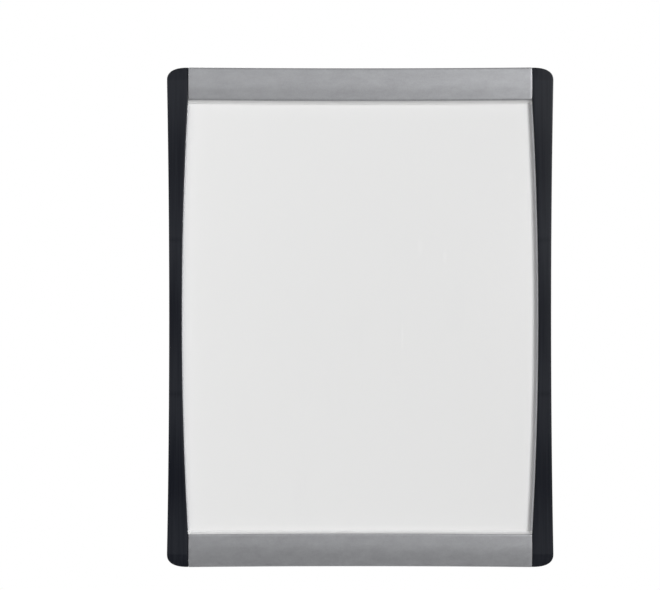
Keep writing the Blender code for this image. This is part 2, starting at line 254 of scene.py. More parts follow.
def add_piece(name, bm):
    """Close a bmesh into an object whose faces point outwards."""
    weld(bm)
    bmesh.ops.recalc_face_normals(bm, faces=bm.faces)
    mesh = bpy.data.meshes.new(name)
    bm.to_mesh(mesh)
    bm.free()
    shade(mesh)
    piece = bpy.data.objects.new(name, mesh)
    bpy.context.scene.collection.objects.link(piece)
    return piece


def bend_grid(bm, rows, closed=False):
    """Bend a flat grid onto rows of points. Every row closes on itself.

    The last row joins the first where closed is set, and otherwise both ends are filled.
    A point comes with how much its place is rubbed in use.
    """
    across, along = len(rows[0]), len(rows) if closed else len(rows) - 1
    rub = bm.verts.layers.float.new("rub")
    made = bmesh.ops.create_grid(bm, x_segments=across, y_segments=along, size=0.5)["verts"]
    for vert in made:
        i = round((vert.co.x + 0.5) * across) % across
        j = round((vert.co.y + 0.5) * along) % len(rows)
        vert.co, vert[rub] = rows[j][i]
    weld(bm)
    if not closed:
        bmesh.ops.holes_fill(bm, edges=[e for e in bm.edges if e.is_boundary], sides=0)


def add_box(bm, low, high):
    """A box between two corners, each given as (x, depth, z). Returns its points."""
    made = bmesh.ops.create_cube(bm, size=1.0)["verts"]
    a, b = point(*low), point(*high)
    size = Vector([abs(b[i] - a[i]) for i in range(3)])
    bmesh.ops.scale(bm, vec=size, verts=made)
    bmesh.ops.translate(bm, vec=(a + b) / 2, verts=made)
    return made


def add_turned(bm, profile, x, z, steps):
    """Spin a profile of (radius, depth) points about a line along the depth."""
    verts = [bm.verts.new(point(x + radius, depth, z)) for radius, depth in profile]
    edges = [bm.edges.new(pair) for pair in zip(verts, verts[1:])]
    bmesh.ops.spin(bm, geom=verts + edges, cent=point(x, 0.0, z), axis=(0.0, 1.0, 0.0),
                   angle=math.tau, steps=steps, use_merge=True)


def turned_tool(places, profile, steps=bore_steps):
    """One cutter of turned shapes, alike at each place."""
    bm = bmesh.new()
    for x, z in places:
        add_turned(bm, profile, x, z, steps)
    return add_piece("tool", bm)


def carve(piece, operation, tool):
    """Cut a tool out of a piece, or join it on, and remove the tool."""
    step = piece.modifiers.new("carve", "BOOLEAN")
    step.operation = operation
    step.object = tool
    step.solver = "EXACT"
    bm = bmesh.new()
    bm.from_object(piece, bpy.context.evaluated_depsgraph_get())
    weld(bm)
    piece.modifiers.clear()
    bm.to_mesh(piece.data)
    bm.free()
    shade(piece.data)
    bpy.data.meshes.remove(tool.data)


def round_plate(name, half_x, half_z, low, high, corner_radius, edge):
    """A flat plate with round corners and softly broken edges."""
    bm = bmesh.new()
    add_box(bm, (-half_x, low, -half_z), (half_x, high, half_z))
    upright = [e for e in bm.edges if abs((e.verts[0].co - e.verts[1].co).normalized().y) > 0.5]
    bmesh.ops.bevel(bm, geom=upright, offset=corner_radius, segments=plate_corner_steps,
                    profile=0.5, affect="EDGES", material=-1)
    rims = [e for e in bm.edges if abs((e.verts[0].co - e.verts[1].co).normalized().y) < 0.5]
    bmesh.ops.bevel(bm, geom=rims, offset=edge, segments=plate_edge_steps, profile=0.5,
                    affect="EDGES", material=-1)
    return add_piece(name, bm)


# Plan curves and faces


def arch(z):
    """How far out the arched inner edge of a side rail lies at a height."""
    share = min(1.0, abs(z) / window_half_height)
    return waist_edge - (waist_edge - junction) * share ** 2


def bow(z):
    """How far a side rail's outer edge is drawn in at a height."""
    return side_bow * max(0.0, 1 - (z / corner_start) ** 2)


def outline(z, inset=0.0):
    """How far out a side rail reaches at a height, drawn in by a wall if asked."""
    share = min(corner_end_share, max(0.0, (abs(z) - corner_start) / (corner_drop - inset)))
    corner = 1 - (1 - share ** corner_power) ** (1 / corner_power)
    return half_width - inset - bow(z) - (side_rail_end_width - inset) * corner


def outline_distance(x, z):
    """How far inside a side rail's outer edge a point lies."""
    run = half_width - bow(z) - junction
    u = max(0.0, (x - junction) / run)
    w = max(0.0, (abs(z) - corner_start) / corner_drop)
    reach = max(tiny, (u ** corner_power + w ** corner_power) ** (1 / corner_power))
    steep_x = (u / reach) ** (corner_power - 1) / run
    steep_z = (w / reach) ** (corner_power - 1) / corner_drop
    return max(0.0, (1 - reach) / max(tiny, math.hypot(steep_x, steep_z)))


def roll(distance, radius):
    """How far a rounded edge has fallen back at a distance from the outline."""
    short = max(0.0, radius - distance)
    return radius - math.sqrt(max(0.0, radius ** 2 - short ** 2))


def slope(z):
    """How far the face of a side rail has fallen back near its ends."""
    return slope_drop * max(0.0, (abs(z) - crease) / slope_length)


def rubbed(distance):
    """How much an edge is rubbed at a distance from it."""
    return max(0.0, 1 - distance / rub_reach)


def end_edge_bow(x):
    """How far an end rail is drawn in towards the window at a place across."""
    return end_bow * (1 - min(1.0, abs(x) / junction) ** 2)


def crest(share):
    """Rise of an end rail's face: two flats that meet in a soft crest."""
    rise = end_rail_crown / end_rail_crest_share
    fall = -end_rail_crown / (1 - end_rail_crest_share)
    past, blend = share - end_rail_crest_share, crest_blend_share
    if past < -blend:
        return end_rail_crown + rise * past
    if past > blend:
        return end_rail_crown + fall * past
    soft = (past ** 2 + blend ** 2) / (4 * blend)
    return end_rail_crown + (rise + fall) / 2 * past + (fall - rise) * soft


def spread(first, last, count):
    """Evenly spaced numbers, without the first and the last."""
    return [first + (last - first) * i / count for i in range(1, count)]


def roll_places(radius, steps):
    """Distances from an edge that lie evenly round its roll, from the edge inwards."""
    return [radius * (1 - math.cos(math.pi / 2 * i / steps)) for i in range(steps + 1)]


# Side rails


def side_rail_face(x, z):
    """Depth of a side rail's face, with its crown, its end slope and its rounded edges."""
    inner, outer = arch(z), outline(z)
    width = outer - inner
    share = min(1.0, max(0.0, (x - inner) / width))
    crown = side_rail_crown * width / side_rail_end_width * 4 * share * (1 - share)
    inner_radius = min(inner_edge_radius, width / 4)
    return (face_depth + crown - slope(z) - roll(outline_distance(x, z), side_edge_radius)
            - roll(x - inner, inner_radius))


def side_rail_row(side, z, solid):
    """Points round a side rail's section at a height. An end wall has a solid section."""
    inner, outer = arch(z), outline(z)
    width = outer - inner
    ceiling = face_depth - slope(z) - rail_wall
    inside = outline(z, rail_wall)
    inner_roll = roll_places(min(inner_edge_radius, width / 4), inner_roll_steps)
    outer_roll = roll_places(min(side_edge_radius, width / 3), outer_roll_steps)
    near = [inner + s for s in inner_roll]
    far = [outer - s for s in reversed(outer_roll)]
    front = near + spread(near[-1], far[0], side_face_steps) + far
    row = [(inner, ceiling, seam_rub)]
    for x in front:
        edge = min(x - inner, outline_distance(x, z))
        row.append((x, side_rail_face(x, z), rubbed(edge)))
    top = side_rail_face(outer, z)
    for depth in spread(top, foot_edge, wall_steps):
        row.append((outer, depth, rubbed(top - depth)))
    row += [(outer, foot_edge, foot_rub), (outer - foot_edge, 0.0, foot_rub)]
    foot = min(inside, outer - 2 * foot_edge)
    turn = (inner, 0.0) if solid else (foot, ceiling)
    row.append((foot, 0.0, 0.0))
    row += [(foot + (turn[0] - foot) * s, turn[1] * s, 0.0) for s in (*quarter_shares, 1)]
    row += [(turn[0] + (inner - turn[0]) * s, turn[1] + (ceiling - turn[1]) * s, 0.0)
            for s in quarter_shares]
    return [(point(side * x, depth, z), rub) for x, depth, rub in row]


def side_rail_stations():
    """Heights of a side rail's sections from top to bottom, and which of them are solid."""
    power = 2 / corner_power
    corner = [corner_start + corner_drop * math.sin(math.radians(angle)) ** power
              for angle in corner_angles]
    wall = half_height - rail_wall
    stations = [(z, True) for z in corner if z > wall] + [(wall, True), (wall, False)]
    stations += [(z, False) for z in corner if z < wall]
    stations += [(crease, False), (crease - crease_blend, False)]
    stations += [(z, False) for z in spread(crease - crease_blend, window_half_height,
                                            crease_steps)]
    stations += [(window_half_height * (1 - i / arch_steps), False) for i in range(arch_steps)]
    return stations + [(0.0, False)] + [(-z, solid) for z, solid in reversed(stations)]


def screw_places(side):
    """The places of the four screws of a side: two at its corners and two behind its arch."""
    side_x = arch(side_screw_height) + lip_outer + seat_gap + boss_radius
    return [(side * corner_screw_x, corner_screw_z), (side * side_x, side_screw_height),
            (side * side_x, -side_screw_height), (side * corner_screw_x, -corner_screw_z)]


def side_rail(name, side):
    """A black side rail with its screw bosses."""
    bm = bmesh.new()
    bend_grid(bm, [side_rail_row(side, z, solid) for z, solid in side_rail_stations()])
    rail = add_piece(name, bm)
    pilot = screw_radius + screw_clearance
    pilot_end = screw_head_sink + screw_length + pilot_spare
    for x, z in screw_places(side):
        top = face_depth - slope(z) - rail_wall + bite
        carve(rail, "UNION", turned_tool([(x, z)], [
            (0.0, top), (boss_radius, top), (boss_radius, core_back + foot_edge),
            (boss_radius - foot_edge, core_back), (0.0, core_back)]))
    pilots = turned_tool(screw_places(side), [
        (0.0, pilot_end), (pilot, pilot_end), (pilot, -overrun), (0.0, -overrun)])
    carve(rail, "DIFFERENCE", pilots)
    return rail


# End rails


def end_rail_row(side, x, solid):
    """Points round an end rail's section. At its end walls the section is filled."""
    end = end_rail_half_length - abs(x)
    height = end_rail_height - roll(end, end_edge_radius)
    ceiling = face_depth - rail_wall
    near = roll_places(inner_edge_radius, inner_roll_steps)
    far = [height - s for s in reversed(roll_places(outer_edge_radius, outer_roll_steps))]
    row = [(0.0, ceiling, seam_rub)]
    for reach in near + spread(near[-1], far[0], end_face_steps) + far:
        depth = (face_depth + crest(reach / height) - roll(end, end_edge_radius)
                 - roll(reach, inner_edge_radius) - roll(height - reach, outer_edge_radius))
        row.append((reach, depth, rubbed(min(reach, height - reach))))
    top = row[-1][1]
    for depth in spread(top, foot_edge, wall_steps):
        row.append((height, depth, rubbed(top - depth)))
    row += [(height, foot_edge, foot_rub), (height - foot_edge, 0.0, foot_rub)]
    inside = end_rail_height - rail_wall
    foot = lip_outer + seat_gap
    level = flange_top + seat_gap if solid else ceiling
    row += [(inside, 0.0, 0.0), (inside, level / 2, 0.0), (inside, level, 0.0)]
    row += [(inside + (foot - inside) * s, level, 0.0) for s in (*quarter_shares, 1)]
    row.append((foot, ceiling, 0.0))
    base = window_half_height - end_edge_bow(x)
    return [(point(x, depth, side * (base + reach)), rub) for reach, depth, rub in row]


def end_rail_stations():
    """Places of an end rail's sections from right to left, and which of them are filled."""
    outside = end_rail_half_length - end_edge_radius
    inside = outside - end_wall_thickness
    rolled = roll_places(end_edge_radius, inner_roll_steps)
    stations = [(end_rail_half_length - s, False) for s in rolled]
    stations += [(outside, True), (inside, True), (inside, False)]
    stations += [(x, False) for x in spread(inside, 0.0, end_face_steps)]
    return stations + [(0.0, False)] + [(-x, solid) for x, solid in reversed(stations)]


def end_rail(name, side):
    """A metallic grey end rail with a tongue at each end, which a corner boss runs through."""
    bm = bmesh.new()
    bend_grid(bm, [end_rail_row(side, x, solid) for x, solid in end_rail_stations()])
    rail = add_piece(name, bm)
    low = side * (corner_screw_z - tongue_height / 2)
    high = side * (corner_screw_z + tongue_height / 2)
    inside = end_rail_half_length - end_edge_radius - end_wall_thickness
    for across in (-1, 1):
        bm = bmesh.new()
        add_box(bm, (across * inside, tongue_back, low), (across * tongue_end, tongue_front, high))
        carve(rail, "UNION", add_piece("tool", bm))
    eye = boss_radius + seat_gap
    eyes = [(across * corner_screw_x, side * corner_screw_z) for across in (-1, 1)]
    carve(rail, "DIFFERENCE", turned_tool(eyes, [
        (0.0, tongue_front + overrun), (eye, tongue_front + overrun),
        (eye, tongue_back - overrun), (0.0, tongue_back - overrun)]))
    return rail


# Bezel


def window_loop(offset, end_offset, depth, rub):
    """A loop along the window's edge, moved outwards by an offset at its sides and ends."""
    reach = window_half_height + end_offset
    places = []
    for turn in (1, -1):
        for i in range(window_side_steps):
            share = turn * (2 * i / window_side_steps - 1)
            places.append((turn * (arch(share * window_half_height) + offset), share * reach))
        for i in range(window_end_steps):
            x = turn * (1 - 2 * i / window_end_steps) * (junction + offset)
            places.append((x, turn * (reach - end_edge_bow(x))))
    return [(point(x, depth, z), rub) for x, z in places]


def flange_loop(depth):
    """The plain outer edge of the bezel's flange."""
    places = []
    for turn in (1, -1):
        for i in range(window_side_steps):
            share = turn * (2 * i / window_side_steps - 1)
            places.append((turn * flange_half_width, share * flange_half_height))
        for i in range(window_end_steps):
            share = turn * (1 - 2 * i / window_end_steps)
            places.append((share * flange_half_width, turn * flange_half_height))
    return [(point(x, depth, z), 0.0) for x, z in places]


def bezel(name):
    """The pale grey lip round the window, on a flange that lies on the sheet's edge."""
    loops = []
    for s in reversed(roll_places(lip_edge_radius, small_roll_steps)):
        loops.append(window_loop(s - lip_overhang, s - lip_overhang,
                                 lip_top - roll(s, lip_edge_radius), seam_rub))
    high, low = lip_top - lip_edge_radius, lip_foot + lip_foot_edge
    for i in range(1, cove_steps + 1):
        turn = math.pi / 2 * i / cove_steps
        loops.append(window_loop(-lip_overhang, -lip_overhang - lip_end_cove * (1 - math.cos(turn)),
                                 high - (high - low) * math.sin(turn), 0.0))
    loops.append(window_loop(-lip_overhang, -lip_overhang - lip_end_cove, lip_foot, 0.0))
    loops += [flange_loop(lip_foot), flange_loop(flange_top)]
    loops += [window_loop(lip_outer, lip_outer, flange_top, 0.0),
              window_loop(lip_outer, lip_outer, lip_top - lip_edge_radius, 0.0),
              window_loop(lip_outer - lip_edge_radius, lip_outer - lip_edge_radius, lip_top,
                          seam_rub)]
    bm = bmesh.new()
    bend_grid(bm, loops, closed=True)
    ring = add_piece(name, bm)
    carve(ring, "DIFFERENCE", boss_notches(lip_foot, flange_top))
    return ring


def boss_notches(low, high):
    """A cutter that lets the side bosses pass through a layer's long edges."""
    places = [place for side in (-1, 1) for place in screw_places(side)[1:3]]
    reach = boss_radius + seat_gap
    return turned_tool(places, [(0.0, high + overrun), (reach, high + overrun),
                                (reach, low - overrun), (0.0, low - overrun)])


# Sheet and back


def sheet(name):
    """The lacquered steel sheet."""
    plate = round_plate(name, waist_edge + sheet_reach, window_half_height + sheet_end_reach,
                        sheet_back, sheet_front, sheet_corner_radius, sheet_edge)
    carve(plate, "DIFFERENCE", boss_notches(sheet_back, sheet_front))
    return plate


def magnet_places():
    """Each magnet's name and centre, near a corner of the back."""
    x, z = panel_half_width - magnet_inset, panel_half_height - magnet_inset
    return {"top_left": (-x, z), "top_right": (x, z),
            "bottom_left": (-x, -z), "bottom_right": (x, -z)}


def back_panel(name):
    """The back, with a cup for each magnet and a countersunk hole for each screw."""
    panel = round_plate(name, panel_half_width, panel_half_height, 0.0, panel_thickness,
                        panel_corner_radius, panel_edge)
    pocket = magnet_thickness + seat_gap
    well = magnet_radius + seat_gap
    magnets = list(magnet_places().values())
    carve(panel, "UNION", turned_tool(magnets, [
        (0.0, pocket + cup_floor), (well + cup_wall, pocket + cup_floor),
        (well + cup_wall, panel_thickness - bite), (0.0, panel_thickness - bite)], disc_steps))
    carve(panel, "DIFFERENCE", turned_tool(magnets, [
        (0.0, pocket), (well, pocket), (well, panel_edge),
        (well + panel_edge, 0.0), (well + panel_edge, -overrun), (0.0, -overrun)], disc_steps))
    shank, head = screw_radius + screw_clearance, screw_head_radius + screw_clearance
    holes = [place for side in (-1, 1) for place in screw_places(side)]
    carve(panel, "DIFFERENCE", turned_tool(holes, [
        (0.0, panel_thickness + overrun), (shank, panel_thickness + overrun),
        (shank, screw_head_sink + screw_head_height), (head, screw_head_sink),
        (head, -overrun), (0.0, -overrun)]))
    return panel


def magnet(name, x, z):
    """A disc magnet with round edges, flush with the back."""
    rim = [(magnet_radius - s, roll(s, magnet_edge_radius))
           for s in roll_places(magnet_edge_radius, small_roll_steps)]
    front = [(radius, magnet_thickness - depth) for radius, depth in reversed(rim)]
    bm = bmesh.new()
    add_turned(bm, [(0.0, magnet_thickness)] + front + rim + [(0.0, 0.0)], x, z, disc_steps)
    return add_piece(name, bm)


def screw(name, x, z, turn):
    """A countersunk screw with a cross recess, turned by an angle."""
    tip = screw_head_sink + screw_length
    neck = screw_head_sink + screw_head_height
    profile = [(0.0, tip), (screw_radius / 2, tip - screw_tip_length / 2)]
    crests = int((tip - screw_tip_length - neck) / thread_pitch)
    for i in range(crests):
        depth = tip - screw_tip_length - i * thread_pitch
        profile += [(screw_radius, depth), (screw_radius - thread_depth, depth - thread_pitch / 2)]
    profile += [(screw_radius, neck), (screw_head_radius, screw_head_sink + screw_rim_height),
                (screw_head_radius - screw_rim_inset, screw_head_sink), (0.0, screw_head_sink)]
    bm = bmesh.new()
    add_turned(bm, profile, x, z, bore_steps)
    piece = add_piece(name, bm)
    for angle in (turn, turn + math.pi / 2):
        bm = bmesh.new()
        bar = add_box(bm, (-recess_span / 2, -overrun, -recess_width / 2),
                      (recess_span / 2, screw_head_sink + recess_depth, recess_width / 2))
        floor = [v for v in bar if v.co.y < 0]
        bmesh.ops.scale(bm, vec=recess_taper, verts=floor)
        bmesh.ops.rotate(bm, matrix=Matrix.Rotation(angle, 3, "Y"), verts=bar)
        bmesh.ops.translate(bm, vec=point(x, 0.0, z), verts=bar)
        carve(piece, "DIFFERENCE", add_piece("tool", bm))
    return piece


# Shader helpers


def add_node(tree, kind, values=None, **settings):
    """A node with its settings, and its sockets set or linked by number or name."""
    made = tree.nodes.new(kind)
    for name, value in settings.items():
        setattr(made, name, value)
    for key, value in (values or {}).items():
        if isinstance(value, bpy.types.NodeSocket):
            tree.links.new(value, made.inputs[key])
        else:
            made.inputs[key].default_value = value
    return made


def group(name, inputs, outputs):
    """An empty node group with float inputs, each with a default, and typed outputs."""
    tree = bpy.data.node_groups.new(name, "ShaderNodeTree")
    for label, default in inputs.items():
        socket = tree.interface.new_socket(label, in_out="INPUT", socket_type="NodeSocketFloat")
        socket.default_value = default
    for label, kind in outputs.items():
        tree.interface.new_socket(label, in_out="OUTPUT", socket_type=kind)
    return tree, tree.nodes.new("NodeGroupInput").outputs, tree.nodes.new("NodeGroupOutput")


def use(tree, grouped, values):
    """A group placed in a material with its own values."""
    return add_node(tree, "ShaderNodeGroup", values, node_tree=grouped).outputs


def new_material(name, roughness, metallic=0.0, **settings):
    """A material with its node tree and its Principled shader."""
    material = bpy.data.materials.new(name)
    material.use_nodes = True
    tree = material.node_tree
    shader = tree.nodes["Principled BSDF"]
    shader.inputs["Roughness"].default_value = roughness
    shader.inputs["Metallic"].default_value = metallic
    for key, value in settings.items():
        shader.inputs[key.replace("_", " ")].default_value = value
    return material, tree, shader


def own_place(tree):
    """Coordinates that stay with the piece."""
    return tree.nodes.new("ShaderNodeTexCoord").outputs["Object"]


def calc(tree, operation, a, b=0.0):
    """The value of one sum."""
    return add_node(tree, "ShaderNodeMath", {0: a, 1: b}, operation=operation).outputs[0]


def between(tree, value, low, high, to_low=0.0, to_high=1.0):
    """A value's place in a range, carried over to another range."""
    return add_node(tree, "ShaderNodeMapRange", {0: value, 1: low, 2: high, 3: to_low,
                                                 4: to_high}).outputs[0]


def evened(tree, noisy, to_low=0.0, to_high=1.0):
    """Noise, which mostly lies from 0.3 to 0.7, spread over a range."""
    return between(tree, noisy, 0.3, 0.7, to_low, to_high)


def mix_colour(tree, share, a, b):
    """Two colours mixed by a share."""
    return add_node(tree, "ShaderNodeMix", {0: share, 6: a, 7: b}, data_type="RGBA").outputs[2]


def stretched(tree, place, scale):
    """Coordinates stretched by a scale along each axis."""
    return add_node(tree, "ShaderNodeMapping", {"Vector": place, "Scale": scale}).outputs[0]


def noise(tree, place, scale, detail, rough):
    """Soft noise from 0 to 1."""
    return add_node(tree, "ShaderNodeTexNoise", {"Vector": place, "Scale": scale,
                                                 "Detail": detail, "Roughness": rough}).outputs[0]


def grain_group():
    """Fine moulded grain with soft patches: two masks and a bumped normal."""
    tree, given, result = group("moulded_grain", {"Grain": 4000.0, "Patch": 60.0, "Depth": 1.0},
                                {"Mask": "NodeSocketFloat", "Patches": "NodeSocketFloat",
                                 "Normal": "NodeSocketVector"})
    place = own_place(tree)
    fine = noise(tree, place, given["Grain"], 2.0, 0.6)
    patches = noise(tree, place, given["Patch"], 4.0, 0.55)
    raised = calc(tree, "MULTIPLY", fine, given["Depth"])
    bump = add_node(tree, "ShaderNodeBump", {"Strength": 1.0, "Distance": 0.00001,
                                             "Height": raised}).outputs[0]
    tree.links.new(fine, result.inputs["Mask"])
    tree.links.new(patches, result.inputs["Patches"])
    tree.links.new(bump, result.inputs["Normal"])
    return tree


def rub_group():
    """Where edges are rubbed by handling: a broken mask that follows the rounded edges."""
    tree, given, result = group("edge_rub", {"Amount": 0.5, "Scale": 900.0},
                                {"Mask": "NodeSocketFloat"})
    place = own_place(tree)
    edge = add_node(tree, "ShaderNodeAttribute", attribute_name="rub").outputs["Fac"]
    broken = noise(tree, place, given["Scale"], 4.0, 0.65)
    strong = calc(tree, "POWER", edge, 2.0)
    mask = calc(tree, "MULTIPLY", strong, between(tree, broken, 0.42, 0.68))
    tree.links.new(calc(tree, "MULTIPLY", mask, given["Amount"]), result.inputs["Mask"])
    return tree


grain = grain_group()
rub = rub_group()


def black_moulding():
    """Satin black moulding: lengthwise flow lines, soft sinks over the side screws with painted
    shade in them, painted bands of sheen along its length and painted shade on its sloped ends.
    """
    material, tree, shader = new_material("satin_black_moulding", 0.4, Specular_IOR_Level=0.16)
    place = own_place(tree)
    flow = noise(tree, stretched(tree, place, (1.0, 1.0, 0.02)), 1000.0, 2.0, 0.6)
    waves = noise(tree, stretched(tree, place, (0.05, 0.05, 1.0)), 26.0, 2.0, 0.5)
    height = add_node(tree, "ShaderNodeSeparateXYZ", {0: place}).outputs[2]
    from_middle = calc(tree, "ABSOLUTE", height)
    from_screw = calc(tree, "ABSOLUTE", calc(tree, "SUBTRACT", from_middle, side_screw_height))
    # A soft sink over each side screw: a dip in the bump, with painted shade darkening its colour.
    sink_dip_and_shade = between(tree, from_screw, 0.0, sink_reach, 1.0, 0.0)
    worn = use(tree, rub, {"Amount": 0.25})["Mask"]
    fine = use(tree, grain, {"Grain": 5200.0, "Patch": 45.0, "Depth": 0.5})
    # Painted sheen: bands of lighter and darker colour along the rail, lightest at the side screws'
    # heights, in place of reflections along its face.
    painted_sheen_bands = calc(tree, "COSINE", calc(tree, "MULTIPLY", height, math.pi / side_screw_height))
    # Painted shade: darker colour past the crease, where the face slopes back towards each end.
    painted_end_shade = between(tree, from_middle, crease, crease + crease_blend)
    tone = calc(tree, "ADD", calc(tree, "MULTIPLY", flow, 1.5), calc(tree, "MULTIPLY", waves, 0.6))
    for darker, strength in ((painted_end_shade, 0.40), (sink_dip_and_shade, 0.40), (painted_sheen_bands, 0.39)):
        tone = calc(tree, "SUBTRACT", tone, calc(tree, "MULTIPLY", darker, strength))
    colour = mix_colour(tree, between(tree, tone, 0.55, 1.55), black_dark, black_pale)
    colour = mix_colour(tree, worn, colour, black_rubbed)
    tree.links.new(colour, shader.inputs["Base Color"])
    rough = evened(tree, flow, 0.36, 0.44)
    tree.links.new(calc(tree, "SUBTRACT", rough, calc(tree, "MULTIPLY", worn, 0.08)),
                   shader.inputs["Roughness"])
    shape = calc(tree, "SUBTRACT", waves, calc(tree, "MULTIPLY", sink_dip_and_shade, 0.10))
    bump = add_node(tree, "ShaderNodeBump", {"Strength": 0.6, "Distance": 0.0006,
                                             "Height": shape, "Normal": fine["Normal"]})
    tree.links.new(bump.outputs[0], shader.inputs["Normal"])
    return material


def silver_paint():
    """Silver-grey metallic paint: fine flakes, soft mottle and edges rubbed bright."""
    material, tree, shader = new_material("silver_grey_paint", 0.42, 0.6)
    place = own_place(tree)
    flakes = add_node(tree, "ShaderNodeTexVoronoi", {"Vector": place, "Scale": 3200.0})
    glint = add_node(tree, "ShaderNodeSeparateColor", {0: flakes.outputs["Color"]}).outputs[0]
    mottle = noise(tree, stretched(tree, place, (0.5, 1.0, 1.0)), 700.0, 3.0, 0.55)
    cloud = noise(tree, stretched(tree, place, (0.45, 1.0, 1.0)), 190.0, 2.0, 0.5)
    fine = use(tree, grain, {"Grain": 6000.0, "Patch": 70.0, "Depth": 0.6})
    worn = use(tree, rub, {"Amount": 0.45})["Mask"]
    tone = calc(tree, "ADD", calc(tree, "MULTIPLY", glint, 0.18),
                calc(tree, "MULTIPLY", mottle, 0.34))
    tone = calc(tree, "ADD", tone, calc(tree, "MULTIPLY", cloud, 0.48))
    colour = mix_colour(tree, between(tree, tone, 0.2, 0.8), silver_dark, silver_pale)
    colour = mix_colour(tree, calc(tree, "MULTIPLY", fine["Patches"], 0.2), colour, silver_dark)
    colour = mix_colour(tree, worn, colour, silver_rubbed)
    tree.links.new(colour, shader.inputs["Base Color"])
    tree.links.new(evened(tree, mottle, 0.35, 0.44), shader.inputs["Roughness"])
    bump = add_node(tree, "ShaderNodeBump", {"Strength": 0.35, "Distance": 0.00002,
                                             "Height": glint, "Normal": fine["Normal"]})
    tree.links.new(bump.outputs[0], shader.inputs["Normal"])
    return material


def grey_moulding():
    """Pale grey semi-gloss moulding of the bezel, painted nearly white at the ends of the window in
    place of the light on its end walls.
    """
    material, tree, shader = new_material("light_grey_moulding", 0.22)
    place = own_place(tree)
    height = add_node(tree, "ShaderNodeSeparateXYZ", {0: place}).outputs[2]
    # Painted light: the colour turns nearly white towards the window's ends, standing in for the
    # light on the bezel's end walls.
    painted_end_light = between(tree, calc(tree, "ABSOLUTE", height), window_half_height - painted_light_end_reach,
                       window_half_height - painted_light_end_full)
    fine = use(tree, grain, {"Grain": 4500.0, "Patch": 80.0, "Depth": 0.5})
    worn = use(tree, rub, {"Amount": 0.4})["Mask"]
    colour = mix_colour(tree, evened(tree, fine["Patches"]), bezel_dark, bezel_pale)
    colour = mix_colour(tree, painted_end_light, colour, bezel_end_painted_light)
    colour = mix_colour(tree, worn, colour, bezel_rubbed)
    tree.links.new(colour, shader.inputs["Base Color"])
    tree.links.new(evened(tree, fine["Mask"], 0.10, 0.17), shader.inputs["Roughness"])
    tree.links.new(fine["Normal"], shader.inputs["Normal"])
    return material


def white_lacquer():
    """Glossy dry-wipe lacquer with faint smears, a speck or two and a few painted reflections."""
    material, tree, shader = new_material("white_dry_wipe_lacquer", 0.2)
    place = own_place(tree)
    haze = noise(tree, place, 14.0, 4.0, 0.55)
    smear_and_reflection_streaks = noise(tree, stretched(tree, place, (1.0, 1.0, 0.18)), 60.0, 4.0, 0.6)
    orange_peel = noise(tree, place, 700.0, 2.0, 0.5)
    smear = calc(tree, "MULTIPLY", between(tree, haze, 0.5, 0.75), between(tree, smear_and_reflection_streaks, 0.5, 0.7))
    specks = add_node(tree, "ShaderNodeTexVoronoi", {"Vector": place, "Scale": 34.0})
    speck = between(tree, specks.outputs["Distance"], 0.0, 0.018, 0.35, 0.0)
    colour = mix_colour(tree, smear, lacquer_clean, lacquer_smeared)
    colour = mix_colour(tree, speck, colour, lacquer_speck)
    # Painted reflections: pale spots and a thin streak on the lacquer, in place of reflections in
    # its gloss.
    for x, z, half_x, half_z in painted_reflection_spots:
        spot = add_node(tree, "ShaderNodeMapping", {
            "Vector": place, "Location": (-x / half_x, 0.0, -z / half_z),
            "Scale": (1 / half_x, 0.0, 1 / half_z)}).outputs[0]
        away = add_node(tree, "ShaderNodeVectorMath", {0: spot}, operation="LENGTH").outputs[1]
        painted_reflection = calc(tree, "MULTIPLY", between(tree, away, 0.2, 1.0, 1.0, 0.0),
                     between(tree, smear_and_reflection_streaks, 0.3, 0.6))
        colour = mix_colour(tree, painted_reflection, colour, lacquer_painted_reflection)
    tree.links.new(colour, shader.inputs["Base Color"])
    tree.links.new(between(tree, smear, 0.0, 1.0, 0.18, 0.30), shader.inputs["Roughness"])
    bump = add_node(tree, "ShaderNodeBump", {"Strength": 0.15, "Distance": 0.00002,
                                             "Height": orange_peel})
    tree.links.new(bump.outputs[0], shader.inputs["Normal"])
    return material


def fibreboard():
    """Raw brown fibreboard: matted fibres and darker flecks."""
    material, tree, shader = new_material("raw_fibreboard", 0.85)
    place = own_place(tree)
    fibres = noise(tree, stretched(tree, place, (1.0, 1.0, 0.35)), 900.0, 6.0, 0.7)
    patches = noise(tree, place, 60.0, 4.0, 0.5)
    colour = mix_colour(tree, evened(tree, fibres), fibre_dark, fibre_pale)
    colour = mix_colour(tree, calc(tree, "MULTIPLY", patches, 0.4), colour, fibre_patch)
    tree.links.new(colour, shader.inputs["Base Color"])
    bump = add_node(tree, "ShaderNodeBump", {"Strength": 0.6, "Distance": 0.0001,
                                             "Height": fibres})
    tree.links.new(bump.outputs[0], shader.inputs["Normal"])
    return material


def textured_back():
    """Dark grey spark-textured moulding with dust caught in its texture."""
    material, tree, shader = new_material("textured_dark_moulding", 0.6)
    fine = use(tree, grain, {"Grain": 1500.0, "Patch": 30.0, "Depth": 4.0})
    worn = use(tree, rub, {"Amount": 0.5})["Mask"]
    colour = mix_colour(tree, between(tree, fine["Mask"], 0.35, 0.65), back_dark, back_pale)
    colour = mix_colour(tree, between(tree, fine["Patches"], 0.4, 0.8, 0.0, 0.25), colour,
                        back_dust)
    colour = mix_colour(tree, worn, colour, back_rubbed)
    tree.links.new(colour, shader.inputs["Base Color"])
    tree.links.new(evened(tree, fine["Mask"], 0.52, 0.68), shader.inputs["Roughness"])
    tree.links.new(fine["Normal"], shader.inputs["Normal"])
    return material


